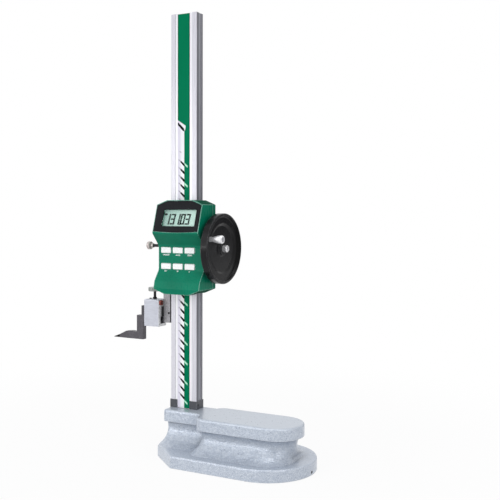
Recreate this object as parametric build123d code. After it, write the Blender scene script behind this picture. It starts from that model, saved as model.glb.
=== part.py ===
from build123d import *
import math
import os

os.makedirs("parts", exist_ok=True)

# 300 mm / 12 in digital height gauge, millimetres.
# X runs to the right along the base, Y runs to the back, Z runs up from the lapped underside.
# The column axis stands over the origin. Everything is drawn with the scriber face at zero_z.

# ---- driving dimensions: base ----
flange_left = -19.8
flange_right = 183.0
flange_half = 60.0          # half width across the flange
base_mid_y = -12.5          # long axis of the base, ahead of the column axis
flange_h = 14.7
flange_cut_x = 41.0         # chamfered left corners
flange_cut_y = 35.0
base_h = 56.3               # top of the base
plate_t = 14.8              # thickness of the top plate
plate_half = 33.0
plate_right = 169.0
plate_left = 36.0           # left end of the wide part of the top plate
plate_corner = 14.0
seat_left = -20.9
seat_front = -24.0
seat_back = 13.0
seat_corner = 4.0
seat_blend = 7.0            # hollow corner where the seat runs into the wide part
pocket_depth = 12.0         # column foot let into the seat

# ---- driving dimensions: column and scale ----
col_w = 38.4
col_t = 16.0
col_top = 563.5
scale_w = 18.0
land_w = 25.0               # polished land either side of the scale
land_d = 0.4
board_t = 1.45
film_t = 0.25
rack_w = 8.7
rack_bottom = 88.0
rack_top = 452.0
module = 1.0
teeth = 12
rack_add = 0.7              # stub rack teeth, so the small pinion is not undercut
pitch_y = 6.9               # rack pitch line
side_groove_w = 3.8
side_groove_d = 0.7

# ---- driving dimensions: carriage ----
zero_z = 141.05             # scriber measuring face at the drawn position
travel_up = 159.0           # carriage travel above the drawn position
run_gap = 0.15              # carriage to column
wall = 2.2
house_half = 34.0
side_room = 4.8             # between the frame cheeks and the housing walls
cheek_out = house_half - wall - side_room
frame_front = -9.6
frame_rear = 12.2
house_bottom = zero_z + 63.45
house_rear = 15.0
split_y = 8.0               # joint between front housing and rear cover
toe_y = -26.6
toe_z = house_bottom + 7.0
crease_y = -24.3
crease_z = house_bottom + 16.5
panel_y = -14.2             # upright key panel
panel_low_z = house_bottom + 30.5
panel_h = 30.5
panel_top_z = panel_low_z + panel_h
brow_h = 17.0               # under the display
face_low_y = -29.3
face_low_z = panel_top_z + brow_h
face_rise = 42.1            # sloping display face
face_top_y = -16.3
house_top = face_low_z + face_rise
top_cut_x = 14.5            # chamfered corners of the housing
top_cut_z = 5.8
low_cut_x = 15.5
low_cut_z = 6.3
frame_bottom = house_bottom + 6.5
frame_top = house_top - 8.6
drive_z = house_bottom + 58.0   # hand wheel axis height
pass_gap = 0.35             # housing to column, beyond the running gap

# ---- driving dimensions: keys ----
key_w = 14.6
key_h = 7.2
key_gap = 0.2
key_x = [-22.4, -4.6, 13.2]
key_z = [panel_top_z - 5.2, panel_low_z + 4.5]
key_proud = 1.1
panel_wall = 1.5
key_travel = 0.5

# ---- driving dimensions: drive ----
pitch_r = module * teeth / 2
shaft_r = 2.8
shaft_fit = 0.05
bush_r = 4.5
wheel_r = 45.3
wheel_gap = 4.9             # housing side to the rim
rim_w = 10.3
wheel_back = house_half + wheel_gap
wheel_face = wheel_back + rim_w
web = wheel_back + 7.1      # front of the dished web
hub_seat = wheel_back + 8.5
stud_r = 2.0
handle_dy = 12.0 - wheel_r
handle_dz = 12.9
grip_l = 19.4
drive_y = pitch_y + pitch_r

# ---- driving dimensions: jaw, clamp and scriber ----
jaw_w = 11.0
jaw_left = -house_half + 0.8
jaw_right = jaw_left + jaw_w
jaw_half = 5.0
bar_low = zero_z + 31.95
bar_h = 13.0
bar_high = bar_low + bar_h
jaw_bottom = bar_low - 8.0
jaw_top = house_bottom - 0.7
tang_top = house_bottom + 27.5
tang_x = -house_half + wall + 0.3
bar_front = -11.0
bar_back = -1.0
box_w = 22.9
box_right = jaw_left - 0.3
box_left = box_right - box_w
bar_end = box_left - 7.1
box_front = bar_front - 4.6
box_back = bar_back + 4.0
box_low = bar_low - 12.7
box_high = bar_high + 9.4
slip = 0.2                  # clearance round the bar and shank inside the clamp
shank_h = 9.0
scriber_t = 7.0
scriber_y = (bar_front + bar_back) / 2
drop_w = 10.2
drop_right = box_left - 5.4
drop_left = drop_right - drop_w
blade_l = 38.6
tip_x = drop_left - blade_l
tip_l = 10.0
clamp_x = box_right - 12.0
set_x = box_left + 4.0
lock_z = drive_z + 2.6


def save(shape, name):
    export_step(shape, f"parts/{name}.step")


def block(x0, x1, y0, y1, z0, z1):
    return Pos((x0 + x1) / 2, (y0 + y1) / 2, (z0 + z1) / 2) * Box(x1 - x0, y1 - y0, z1 - z0)


def rod_x(r, x0, x1, y, z):
    return Pos((x0 + x1) / 2, y, z) * Rot(0, 90, 0) * Cylinder(r, x1 - x0)


def rod_y(r, y0, y1, x, z):
    return Pos(x, (y0 + y1) / 2, z) * Rot(90, 0, 0) * Cylinder(r, y1 - y0)


def rod_z(r, z0, z1, x, y):
    return Pos(x, y, (z0 + z1) / 2) * Cylinder(r, z1 - z0)


def turn_x(points, y, z):
    """Body turned about an axis along X through (y, z); points are (x, radius)."""
    face = make_face(Plane.XZ * Polyline(*points, close=True))
    return Pos(0, y, z) * revolve(face, Axis.X, 360)


def slab_x(points, x0, x1):
    """Outline in (y, z) drawn along X."""
    face = make_face(Plane.YZ * Polyline(*points, close=True))
    return Pos(x0, 0, 0) * extrude(face, amount=x1 - x0, dir=(1, 0, 0))


def slab_y(points, y0, y1):
    """Outline in (x, z) drawn along Y."""
    face = make_face(Plane.XZ * Polyline(*points, close=True))
    return Pos(0, y0, 0) * extrude(face, amount=y1 - y0, dir=(0, 1, 0))


def cap_screw_y(x, z, head_y, tip_y, r, head_r, head_h):
    """Socket screw along Y with the outer face of its head at head_y."""
    step = 1 if tip_y > head_y else -1
    under = head_y + step * head_h
    head = rod_y(head_r, min(head_y, under), max(head_y, under), x, z)
    stem = rod_y(r, min(under, tip_y), max(under, tip_y), x, z)
    hex_y = head_y + step * head_h * 0.3
    hexagon = extrude(RegularPolygon(head_r * 0.5, 6), head_h * 0.31, both=True)
    socket = Pos(x, hex_y, z) * Rot(90, 0, 0) * hexagon
    return head + stem - socket


# ---------------------------------------------------------------- base casting
def flange_outline():
    y0 = base_mid_y - flange_half
    y1 = base_mid_y + flange_half
    xc = flange_right - flange_half
    edge = Polyline(
        (xc, y1),
        (flange_left + flange_cut_x, y1),
        (flange_left, y1 - flange_cut_y),
        (flange_left, y0 + flange_cut_y),
        (flange_left + flange_cut_x, y0),
        (xc, y0),
    )
    end = ThreePointArc((xc, y0), (flange_right, base_mid_y), (xc, y1))
    return make_face([edge, end])


def plate_outline():
    y0 = base_mid_y - plate_half
    y1 = base_mid_y + plate_half
    xc = plate_right - plate_half
    wide = Pos((plate_left + xc) / 2, base_mid_y) * Rectangle(xc - plate_left, 2 * plate_half)
    left_corners = wide.vertices().group_by(Axis.X)[0]
    wide = fillet(left_corners, plate_corner)
    wide = wide + Pos(xc, base_mid_y) * Circle(plate_half)
    seat_w = plate_left + 20 - seat_left
    seat_mid = (seat_front + seat_back) / 2
    seat = Pos(seat_left + seat_w / 2, seat_mid) * Rectangle(seat_w, seat_back - seat_front)
    seat = fillet(seat.vertices().group_by(Axis.X)[0], seat_corner)
    outline = wide + seat
    inner_corner = outline.vertices().sort_by_distance((plate_left, seat_front))[0]
    return fillet(inner_corner, seat_blend)


def rounded(x0, x1, y0, y1, r_left, r_right):
    shape = Pos((x0 + x1) / 2, (y0 + y1) / 2) * Rectangle(x1 - x0, y1 - y0)
    shape = fillet(shape.vertices().group_by(Axis.X)[0], r_left)
    return fillet(shape.vertices().group_by(Axis.X)[-1], r_right)


def cove(sections):
    faces = []
    for z, x0, x1, y0, y1, r_left, r_right in sections:
        faces.append(Pos(0, 0, z) * rounded(x0, x1, y0, y1, r_left, r_right))
    return loft(faces)


def at_flange_end(shape):
    """Turn a shape drawn along X from the origin about the centre of the flange's round end."""
    return Pos(flange_right - flange_half, base_mid_y, 0) * Rot(0, 0, -plug_turn) * shape


def make_base():
    plate_low = base_h - plate_t
    flange = extrude(flange_outline(), flange_h)
    flange = fillet(flange.edges().group_by(Axis.Z)[-1], 2.0)
    plate = Pos(0, 0, plate_low) * extrude(plate_outline(), plate_t)
    plate = fillet(plate.edges().group_by(Axis.Z)[-1], 2.6)
    # the waist under the plate sweeps out to the flange along the front and back
    wide = cove(
        [
            (flange_h - 0.5, 34, 164, -61, 36, 16, 34),
            (flange_h + 4, 38, 160, -50, 25, 14, 30),
            (flange_h + 10, 41, 159, -43, 18, 12, 27),
            (flange_h + 18, 42, 160, -40, 15, 11, 26),
            (plate_low + 0.5, 39, 165, -42, 17.5, 12, 29),
        ]
    )
    seat = cove(
        [
            (flange_h - 0.5, -20.6, 60, -46, 33, 16, 4),
            (flange_h + 4, -18.8, 60, -32, 20, 8, 4),
            (flange_h + 10, -17.2, 60, -24, 13, 5, 4),
            (flange_h + 18, -16.8, 60, -20.5, 10, 4, 4),
            (plate_low + 0.5, -18.0, 60, -21.2, 10.6, 4, 4),
        ]
    )
    waist = (wide + seat) & extrude(flange_outline(), base_h)
    base = flange + plate + waist
    # socket for the column foot
    foot = col_w / 2 + 0.02
    base -= block(-foot, foot, -col_t / 2 - 0.02, col_t / 2 + 0.02, base_h - pocket_depth, base_h + 1)
    # two bolts come up through the underside
    for x in (-bolt_x, bolt_x):
        base -= rod_z(7.2, -1, bolt_seat, x, 0)
        base -= rod_z(4.2, -1, base_h, x, 0)
    # relieved underside leaves a lapped land all round
    relief = Pos(95, base_mid_y, 0) * extrude(RectangleRounded(118, 84, 20), 2.0)
    base -= relief
    base -= at_flange_end(rod_x(plug_r, flange_half - plug_l, flange_half + 2, 0, plug_z))
    return base


bolt_x = 11.0
bolt_seat = 20.0
plug_r = 1.9
plug_l = 8.0
plug_z = 3.4
plug_turn = 3.0             # round the end of the flange, towards the front
save(make_base(), "base_casting")


# two M8 bolts and their washers
def column_bolt(x):
    head = rod_z(6.5, bolt_seat - 9.6, bolt_seat - 1.6, x, 0)
    stem = rod_z(4.0, bolt_seat - 1.6, base_h + 14, x, 0)
    socket = Pos(x, 0, bolt_seat - 9.7) * extrude(RegularPolygon(3.4, 6), 4)
    return head + stem - socket


def bolt_washer(x):
    return rod_z(6.9, bolt_seat - 1.6, bolt_seat, x, 0) - rod_z(4.1, 0, 30, x, 0)


save(Compound([column_bolt(-bolt_x), column_bolt(bolt_x)]), "column_bolts")
save(Compound([bolt_washer(-bolt_x), bolt_washer(bolt_x)]), "column_bolt_washers")
plug = rod_x(plug_r, flange_half - plug_l, flange_half - 0.2, 0, plug_z)
plug -= rod_x(0.9, flange_half - 1.4, flange_half, 0, plug_z)
save(at_flange_end(plug), "flange_plug")


# ---------------------------------------------------------------- column
front_y = -col_t / 2
back_y = col_t / 2
land_y = front_y + land_d
scale_floor = front_y + 0.05 + film_t + board_t
rack_floor = 2.6
rack_pin_z = [110.0, 200.0, 290.0, 380.0, 440.0]


def make_column():
    z0 = base_h - pocket_depth
    profile = Rectangle(col_w, col_t)
    profile = chamfer(profile.vertices(), 0.6)
    profile -= Pos(0, front_y + land_d / 2) * Rectangle(land_w, land_d)
    depth = scale_floor - front_y
    profile -= Pos(0, front_y + depth / 2) * Rectangle(scale_w + 0.04, depth)
    slot = back_y - rack_floor
    profile -= Pos(0, back_y - slot / 2) * Rectangle(rack_w + 0.04, slot)
    for x in (-col_w / 2, col_w / 2):
        profile -= Pos(x, 1.7) * Rectangle(2 * side_groove_d, side_groove_w)
    body = Pos(0, 0, z0) * extrude(profile, col_top - z0)
    for x in (-bolt_x, bolt_x):
        body -= rod_z(4.05, z0 - 1, base_h + 16, x, 0)
    for z in rack_pin_z:
        body -= rod_y(1.55, front_y, rack_floor + 1, 0, z)
        body -= rod_y(3.0, front_y, scale_floor + 2.2, 0, z)
    body -= rod_y(1.6, back_y - 6, back_y + 1, stop_x, stop_z)
    return body


stop_x = 12.0
stop_head_r = 3.4
stop_z = house_top + travel_up + stop_head_r + 0.3
save(make_column(), "column")

# stop screw for the top of the travel
stop = rod_y(1.55, back_y - 5.8, back_y, stop_x, stop_z)
stop += rod_y(stop_head_r, back_y, back_y + 3.0, stop_x, stop_z)
stop -= block(stop_x - 4, stop_x + 4, back_y + 2.0, back_y + 4, stop_z - 0.4, stop_z + 0.4)
save(stop, "travel_stop_screw")

# measuring scale: conductive board under a printed film, both let into the column
scale_z0 = base_h + 0.6
scale_z1 = col_top - 0.5
save(block(-scale_w / 2, scale_w / 2, scale_floor - board_t, scale_floor, scale_z0, scale_z1), "scale_board")
film_y = scale_floor - board_t
save(block(-scale_w / 2, scale_w / 2, film_y - film_t, film_y, scale_z0, scale_z1), "scale_film")


# rack with straight-sided stub teeth facing the back
tooth_pitch = math.pi * module
slope = math.tan(math.radians(20))


def make_rack():
    root = pitch_y - 1.25 * module
    tip = pitch_y + rack_add
    half = tooth_pitch / 4 - 0.06
    points = [(rack_floor, rack_bottom), (root, rack_bottom)]
    first = math.ceil((rack_bottom + 2 - drive_z) / tooth_pitch - 0.5)
    last = math.floor((rack_top - 2 - drive_z) / tooth_pitch - 0.5)
    for k in range(first, last + 1):
        z = drive_z + (k + 0.5) * tooth_pitch
        low = half + (pitch_y - root) * slope
        high = half - (tip - pitch_y) * slope
        points += [(root, z - low), (tip, z - high), (tip, z + high), (root, z + low)]
    points += [(root, rack_top), (rack_floor, rack_top)]
    rack = slab_x(points, -rack_w / 2, rack_w / 2)
    for z in rack_pin_z:
        rack -= rod_y(1.5, rack_floor - 1, rack_floor + 2.3, 0, z)
    return rack


save(make_rack(), "column_rack")


# screws hold the rack from the front, under the scale
def rack_screw(z):
    under = scale_floor + 2.2
    return rod_y(2.9, scale_floor + 0.1, under, 0, z) + rod_y(1.5, under, rack_floor + 2.2, 0, z)


save(Compound([rack_screw(z) for z in rack_pin_z]), "rack_screws")

# black collar round the column foot, open where the scale runs down
collar_h = 10.6
collar_t = 0.6
collar_room = 1.35          # carriage housing to the collar, at the foot of the travel
cx = col_w / 2 + 0.05
cy = col_t / 2 + 0.05
collar = block(-cx - collar_t, cx + collar_t, -cy - collar_t, cy + collar_t, base_h, base_h + collar_h)
collar -= block(-cx, cx, -cy, cy, base_h - 1, base_h + collar_h + 1)
collar -= block(-9.3, 9.3, -cy - 3, -cy + 1, base_h - 1, base_h + collar_h + 1)
pinch_z = base_h + 5.4
for x in (-cx, cx):
    collar -= rod_x(1.5, x - 2, x + 2, -4.5, pinch_z)
save(collar, "foot_collar")


def collar_pin(side):
    x0 = side * (col_w / 2 + 0.1)
    x1 = side * (cx + collar_t + 0.25)
    return rod_x(1.5, min(x0, x1), max(x0, x1), -4.5, pinch_z)


save(Compound([collar_pin(-1), collar_pin(1)]), "collar_screws")

# ---------------------------------------------------------------- carriage frame
in_x = col_w / 2 + run_gap
in_y = col_t / 2 + run_gap
cut_x = cx + collar_t + collar_room
cut_y = cy + collar_t + collar_room + 0.2
cut_top = house_bottom + wall + 2.0
gib_t = 1.6
gib_z0 = frame_bottom + 4
gib_z1 = frame_top - 4
gib_screw_z = [drive_z - 18.5, drive_z + 21.5, drive_z + 41.5]
boss_z0 = drive_z - 12.5
boss_z1 = drive_z + 12.5
boss_y = 20.4
jaw_screw_z = [frame_bottom + 5.5, frame_bottom + 16.0]
cover_screw_z = [frame_bottom + 11.0, frame_top - 14.0]
board_screw_x = cheek_out - 3.5
board_screw_z = [frame_bottom + 5.5, frame_top - 5.0]


def make_frame():
    body = block(-cheek_out, cheek_out, frame_front, frame_rear, frame_bottom, frame_top)
    body += block(-cheek_out, cheek_out, frame_rear - 1, boss_y, boss_z0, boss_z1)
    body -= block(-in_x, in_x, -in_y, in_y, frame_bottom - 1, frame_top + 1)
    body -= block(-14, 14, frame_front - 1, -in_y + 1, frame_bottom - 1, frame_top + 1)
    # pinion window and shaft bore
    body -= rod_x(pitch_r + 1.5, -4.8, 4.8, drive_y, drive_z)
    body -= rod_x(shaft_r + 0.6, -cheek_out - 1, cheek_out + 1, drive_y, drive_z)
    for x0, x1 in ((-cheek_out - 1, -in_x - 0.2), (in_x + 0.2, cheek_out + 1)):
        body -= rod_x(bush_r, x0, x1, drive_y, drive_z)
    # gib slot and its screws in the left cheek
    body -= block(-in_x - gib_t, -in_x + 1, -6, 6, gib_z0, gib_z1)
    for z in gib_screw_z:
        body -= rod_x(1.5, -cheek_out - 1, -in_x, 0, z)
    body -= rod_x(2.0 + shaft_fit, -cheek_out - 1, -in_x, 0, lock_z)
    for z in jaw_screw_z:
        body -= rod_x(2.0, -cheek_out - 1, -in_x - 2, 0, z)
    for z in cover_screw_z:
        body -= rod_y(1.25, in_y + 0.6, frame_rear + 1, 0, z)
    for x in (-board_screw_x, board_screw_x):
        for z in board_screw_z:
            body -= rod_y(1.0, frame_front - 1, frame_front + 4, x, z)
    return body


save(make_frame(), "slider_frame")
save(block(-in_x - gib_t, -in_x + 0.05, -5.9, 5.9, gib_z0 + 0.1, gib_z1 - 0.1), "gib_strip")


def gib_screw(z):
    screw = rod_x(1.5, -cheek_out + 0.3, -in_x - gib_t, 0, z)
    socket = Pos(-cheek_out + 0.3, 0, z) * Rot(0, 90, 0) * extrude(RegularPolygon(0.8, 6), 1.2, both=True)
    return screw - socket


save(Compound([gib_screw(z) for z in gib_screw_z]), "gib_screws")


def bush(side):
    x0 = side * (in_x + 0.2)
    x1 = side * (cheek_out + 0.2)
    ring = rod_x(bush_r, min(x0, x1), max(x0, x1), drive_y, drive_z)
    return ring - rod_x(shaft_r + shaft_fit, -40, 40, drive_y, drive_z)


save(Compound([bush(-1), bush(1)]), "shaft_bushes")


# ---------------------------------------------------------------- housing
def side_profile(inset):
    """Outline of the housing seen from the side, in (y, z), shrunk evenly by inset."""
    points = [
        (house_rear, house_bottom),
        (house_rear, house_top),
        (face_top_y, house_top),
        (face_low_y, face_low_z),
        (panel_y, panel_top_z),
        (panel_y, panel_low_z),
        (crease_y, crease_z),
        (toe_y, toe_z),
        (toe_y + 1.6, house_bottom),
    ]
    face = make_face(Polyline(*points, close=True))
    for point, radius in zip(points[3:8], (2.0, 7.0, 7.0, 5.0, 3.0)):
        face = fillet(face.vertices().sort_by_distance(point)[0], radius)
    if inset:
        face = offset(face, -inset, kind=Kind.INTERSECTION)
    return face


def front_outline(inset):
    """Outline of the housing seen from the front, in (x, z)."""
    h = house_half - inset
    top = house_top - inset
    low = house_bottom + inset
    shoulder = house_top - top_cut_z - inset * 0.6
    hip = house_bottom + low_cut_z + inset * 0.6
    points = [
        (-h, shoulder),
        (-h + top_cut_x, top),
        (h - top_cut_x, top),
        (h, shoulder),
        (h, hip),
        (h - low_cut_x, low),
        (-h + low_cut_x, low),
        (-h, hip),
    ]
    return slab_y(points, -60, 60)


def housing_solid(inset):
    face = Plane.YZ * side_profile(inset)
    body = Pos(-60, 0, 0) * extrude(face, 120, dir=(1, 0, 0))
    return body & front_outline(inset)


outer = housing_solid(0)
inner = housing_solid(wall)
bulge_x0 = -house_half + 2.0
bulge_y = boss_y + 2.8
bulge_z0 = boss_z0 - 3.4
bulge_z1 = boss_z1 + 3.4
bulge = block(bulge_x0, house_half, house_rear - 3, bulge_y, bulge_z0, bulge_z1)
bulge = chamfer(bulge.edges().filter_by(Axis.X).group_by(Axis.Y)[-1], 2.4)
bulge = chamfer(bulge.edges().group_by(Axis.X)[0].filter_by(Axis.Z).group_by(Axis.Y)[-1], 2.4)

# the display face has its own axes: u across, v up the slope, w outwards
face_len = math.hypot(house_top - face_low_z, face_top_y - face_low_y)
tilt_v = ((face_top_y - face_low_y) / face_len, (house_top - face_low_z) / face_len)
face_mid = ((face_top_y + face_low_y) / 2, (house_top + face_low_z) / 2)
face_plane = Plane(origin=(0, face_mid[0], face_mid[1]), x_dir=(1, 0, 0), z_dir=(0, -tilt_v[1], tilt_v[0]))
lens_w = 2 * (house_half - 9.8)
lens_h = 22.2
lens_u = 2.9
lens_v = -1.6


def on_face(sketch, low, high):
    """Extrude a sketch given in display-face axes between two heights over the face."""
    return face_plane * (Pos(0, 0, low) * extrude(sketch, high - low))


def bezel_sketch(grow):
    v1 = face_len / 2 - 1.1 + grow
    v0 = -face_len / 2 + 1.6 - grow
    half = house_half - 1.0 + grow
    edge = Polyline(
        (-half, v0 + 0.9),
        (-half, v1 - top_cut_z + 0.2),
        (-half + top_cut_x + 0.5, v1),
        (half - top_cut_x - 0.5, v1),
        (half, v1 - top_cut_z + 0.2),
        (half, v0 + 0.9),
    )
    return make_face([edge, ThreePointArc((half, v0 + 0.9), (0, v0 - 0.5), (-half, v0 + 0.9))])


rib_x = house_half - 4.4
rib_top = frame_top - 5.0
rib_spots = [(-rib_x, panel_low_z + 4.0), (-rib_x, rib_top), (rib_x, frame_bottom + 6.0), (rib_x, rib_top)]
knob_hole_r = 2.6


def make_front_housing():
    body = outer - inner
    body &= block(-50, 50, -60, split_y, 150, 400)
    for x, z in rib_spots:
        side = 1 if x > 0 else -1
        x0 = min(x - side * 2.3, side * (house_half - 1))
        x1 = max(x - side * 2.3, side * (house_half - 1))
        body += block(x0, x1, -10.5, split_y, z - 2.4, z + 2.4)
        body -= rod_y(1.2, -4, split_y + 1, x, z)
    # column passes through the top, column foot collar and jaw through the bottom
    body -= block(-in_x - pass_gap, in_x + pass_gap, -in_y - pass_gap, 30, house_top - 6, house_top + 5)
    left = -house_half + wall + 0.1
    body -= block(left, cut_x, -cut_y, 30, house_bottom - 5, cut_top)
    body -= block(left, jaw_right + 2.2, -jaw_half - 0.4, 30, house_bottom - 5, frame_bottom + 4)
    # recess for the bezel and the display opening
    body -= on_face(bezel_sketch(0.1), -1.0, 6)
    body -= on_face(Pos(lens_u, lens_v) * RectangleRounded(lens_w, lens_h, 0.8), -6, 6)
    # key panel is thinned from inside and pierced for the keys
    key_mid = (key_z[0] + key_z[1]) / 2
    pad_x0 = -house_half + wall + 0.6
    body -= block(pad_x0, key_x[-1] + key_w / 2 + 2.5, panel_y + panel_wall, -10, key_mid - 17, key_mid + 17)
    for x in key_x:
        for z in key_z:
            hole = Pos(x, panel_y, z) * Rot(90, 0, 0) * RectangleRounded(
                key_w + 2 * key_gap, key_h + 2 * key_gap, 1.2
            )
            body -= extrude(hole, 6, dir=(0, 1, 0), both=True)
    body -= rod_x(knob_hole_r, -house_half - 2, -house_half + wall + 1, 0, lock_z)
    return body


front_housing = make_front_housing()
save(front_housing, "front_housing")


def make_rear_cover():
    body = (outer - inner) & block(-50, 50, split_y + 0.05, 60, 150, 400)
    body += bulge
    body -= inner & block(-50, 50, 0, house_rear - wall, 150, 400)
    # room for the pinion boss
    body -= block(bulge_x0 + 2.0, house_half - wall, split_y, bulge_y - 2.0, boss_z0 - 1.4, boss_z1 + 1.4)
    # collar clearance at the bottom, rack clearance at the top
    body -= block(-cut_x, cut_x, 0, cut_y, house_bottom - 5, cut_top)
    body -= block(-in_x - pass_gap, in_x + pass_gap, 0, back_y + 0.5, house_top - 6, house_top + 5)
    body -= rod_x(shaft_r + 1.4, house_half - 4, house_half + 4, drive_y, drive_z)
    for x, z in rib_spots:
        body -= rod_y(1.35, 0, 30, x, z)
        body -= rod_y(2.3, house_rear - 1.4, 30, x, z)
    for z in cover_screw_z:
        body -= rod_y(1.35, 0, 30, 0, z)
        body -= rod_y(2.6, house_rear - 1.4, 30, 0, z)
        spacer = rod_y(3.0, frame_rear, house_rear - wall + 0.1, 0, z) - rod_y(1.35, 0, 30, 0, z)
        body += spacer
    for x, z in rib_spots:
        body += rod_y(2.4, split_y + 0.05, house_rear - wall + 0.1, x, z) - rod_y(1.35, 0, 30, x, z)
    return body


rear_cover = make_rear_cover()
save(rear_cover, "rear_cover")


def cover_screw(x, z):
    return cap_screw_y(x, z, house_rear - 0.1, -2.0, 1.2, 2.2, 1.3)


def frame_screw(z):
    return cap_screw_y(0, z, house_rear - 0.1, in_y + 0.8, 1.25, 2.5, 1.3)


save(Compound([cover_screw(x, z) for x, z in rib_spots]), "rear_cover_screws")
save(Compound([frame_screw(z) for z in cover_screw_z]), "carriage_screws")

# ---------------------------------------------------------------- display
bezel = on_face(bezel_sketch(0), -1.0, 0.35)
bezel -= on_face(Pos(lens_u, lens_v) * RectangleRounded(lens_w, lens_h, 0.8), -6, 6)
bezel = bezel & front_outline(0.3)
save(bezel, "display_bezel")
lens = on_face(Pos(lens_u, lens_v) * RectangleRounded(lens_w - 0.1, lens_h - 0.1, 0.75), -1.2, 0.1)
save(lens, "display_window")
lcd = on_face(Pos(lens_u, lens_v) * Rectangle(lens_w + 5.0, lens_h + 6.0), -wall - 2.2, -wall)
save(lcd, "lcd_panel")

# ---------------------------------------------------------------- electronics
board_y = frame_front
board_half = cheek_out - 1.0
head_half = 10.5
board = block(-board_half, board_half, board_y - 1.2, board_y, frame_bottom + 0.5, frame_top)
board -= block(-board_half - 1, -board_half + 4, board_y - 2, board_y + 1, drive_z - 4, drive_z + 4)
for x in (-board_screw_x, board_screw_x):
    for z in board_screw_z:
        board -= rod_y(1.1, board_y - 2, board_y + 1, x, z)
save(board, "main_board")
read_head = block(-head_half, head_half, board_y, front_y - 0.45, frame_bottom + 15, frame_top - 16)
save(read_head, "scale_read_head")


def board_screw(x, z):
    return cap_screw_y(x, z, board_y - 2.4, board_y + 3.8, 1.0, 1.9, 1.2)


screws = [board_screw(x, z) for x in (-board_screw_x, board_screw_x) for z in board_screw_z]
save(Compound(screws), "main_board_screws")

# snap domes under the keys
dome_h = 0.6
domes = [rod_y(2.4, board_y - 1.2 - dome_h, board_y - 1.2, x, z) for x in key_x for z in key_z]
save(Compound(domes), "key_domes")

# coin cell and its holder in the toe of the housing
cell_r = 10.0
cell_x = 1.0
cell_z = frame_bottom + 8.4
cell_back = board_y - 1.2 - 1.2
save(rod_y(cell_r, cell_back - 3.2, cell_back, cell_x, cell_z), "coin_cell")
holder_half = cell_r + 1.4
holder_x0 = cell_x - holder_half
holder_x1 = cell_x + holder_half
holder = block(holder_x0, holder_x1, cell_back - 2.4, board_y - 1.2, cell_z - 4.5, cell_z + 4.5)
holder -= rod_y(cell_r + 0.1, cell_back - 6, cell_back, cell_x, cell_z)
save(holder, "cell_holder")

# ---------------------------------------------------------------- keys
key_names = [["left", "middle", "right"], ["top", "bottom"]]
for i, x in enumerate(key_x):
    for j, z in enumerate(key_z):
        stem = extrude(RectangleRounded(key_w, key_h, 1.0), key_proud + panel_wall + 0.1)
        key = Pos(x, panel_y - key_proud, z) * Rot(-90, 0, 0) * stem
        key = fillet(key.edges().group_by(Axis.Y)[0], 0.45)
        y0 = panel_y + panel_wall + 0.1
        flange_x = key_w / 2 + 0.8
        flange_z = key_h / 2 + 0.8
        key += block(x - flange_x, x + flange_x, y0, y0 + 0.6, z - flange_z, z + flange_z)
        save(key, f"button_{key_names[1][j]}_{key_names[0][i]}")

# ---------------------------------------------------------------- jaw and clamp
jaw = block(jaw_left, jaw_right, -jaw_half, jaw_half, jaw_bottom, jaw_top)
jaw = chamfer(jaw.edges().filter_by(Axis.Z).group_by(Axis.Y)[0], 0.6)
jaw += block(tang_x, -cheek_out, -jaw_half, jaw_half, jaw_top - 1, tang_top)
jaw += block(bar_end, jaw_left + 1.0, bar_front, bar_back, bar_low, bar_high)
jaw -= rod_x(1.6, jaw_right - 6, jaw_right + 1, 0, bar_low + 4.0)
tang_seat = -cheek_out - 2.2
for z in jaw_screw_z:
    jaw -= rod_x(2.1, tang_x - 9, -cheek_out + 7, 0, z)
    jaw -= rod_x(3.6, tang_x - 9, tang_seat, 0, z)
pin_z = bar_low + 4.6
jaw -= rod_y(1.3, -jaw_half - 1, 0, jaw_right - 2.2, pin_z)
save(jaw, "jaw")


def jaw_screw(z):
    screw = rod_x(3.4, tang_x + 0.1, tang_seat, 0, z) + rod_x(1.95, tang_seat, -in_x - 2.2, 0, z)
    socket = Pos(tang_x + 0.1, 0, z) * Rot(0, 90, 0) * extrude(RegularPolygon(1.7, 6), 1.3, both=True)
    return screw - socket


save(Compound([jaw_screw(z) for z in jaw_screw_z]), "jaw_screws")
save(rod_y(1.25, -jaw_half - 0.8, -0.2, jaw_right - 2.2, pin_z), "jaw_pin")

shank_top = bar_low - 0.2
shank_low = shank_top - shank_h
box = block(box_left, box_right, box_front, box_back, box_low, box_high)
box = fillet(box.edges().group_by(Axis.Z)[-1], 1.8)
box = fillet(box.edges().filter_by(Axis.Z), 1.0)
slot_y0 = bar_front - slip
slot_y1 = bar_back + slip
box -= block(box_left - 1, box_right + 1, slot_y0, slot_y1, shank_low - slip, bar_high + slip)
box -= rod_z(1.75 + shaft_fit, bar_high - 1, box_high + 1, clamp_x, scriber_y)
box -= rod_z(1.5, bar_high - 1, box_high + 1, set_x, scriber_y)
side_z = box_high - 4.0
side_y = box_front + 4.4
box -= rod_x(2.0, box_right - 6, box_right + 1, side_y, side_z)
save(box, "clamp_box")
save(rod_z(1.5, bar_high + slip, box_high + 0.9, set_x, scriber_y), "clamp_set_screw")
side_screw = rod_x(2.0, box_right - 5.5, box_right, side_y, side_z)
side_screw += rod_x(3.4, box_right, box_right + 2.4, side_y, side_z)
side_screw -= block(box_right + 1.5, box_right + 4, side_y - 5, side_y + 5, side_z - 0.45, side_z + 0.45)
save(side_screw, "clamp_side_screw")

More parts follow.
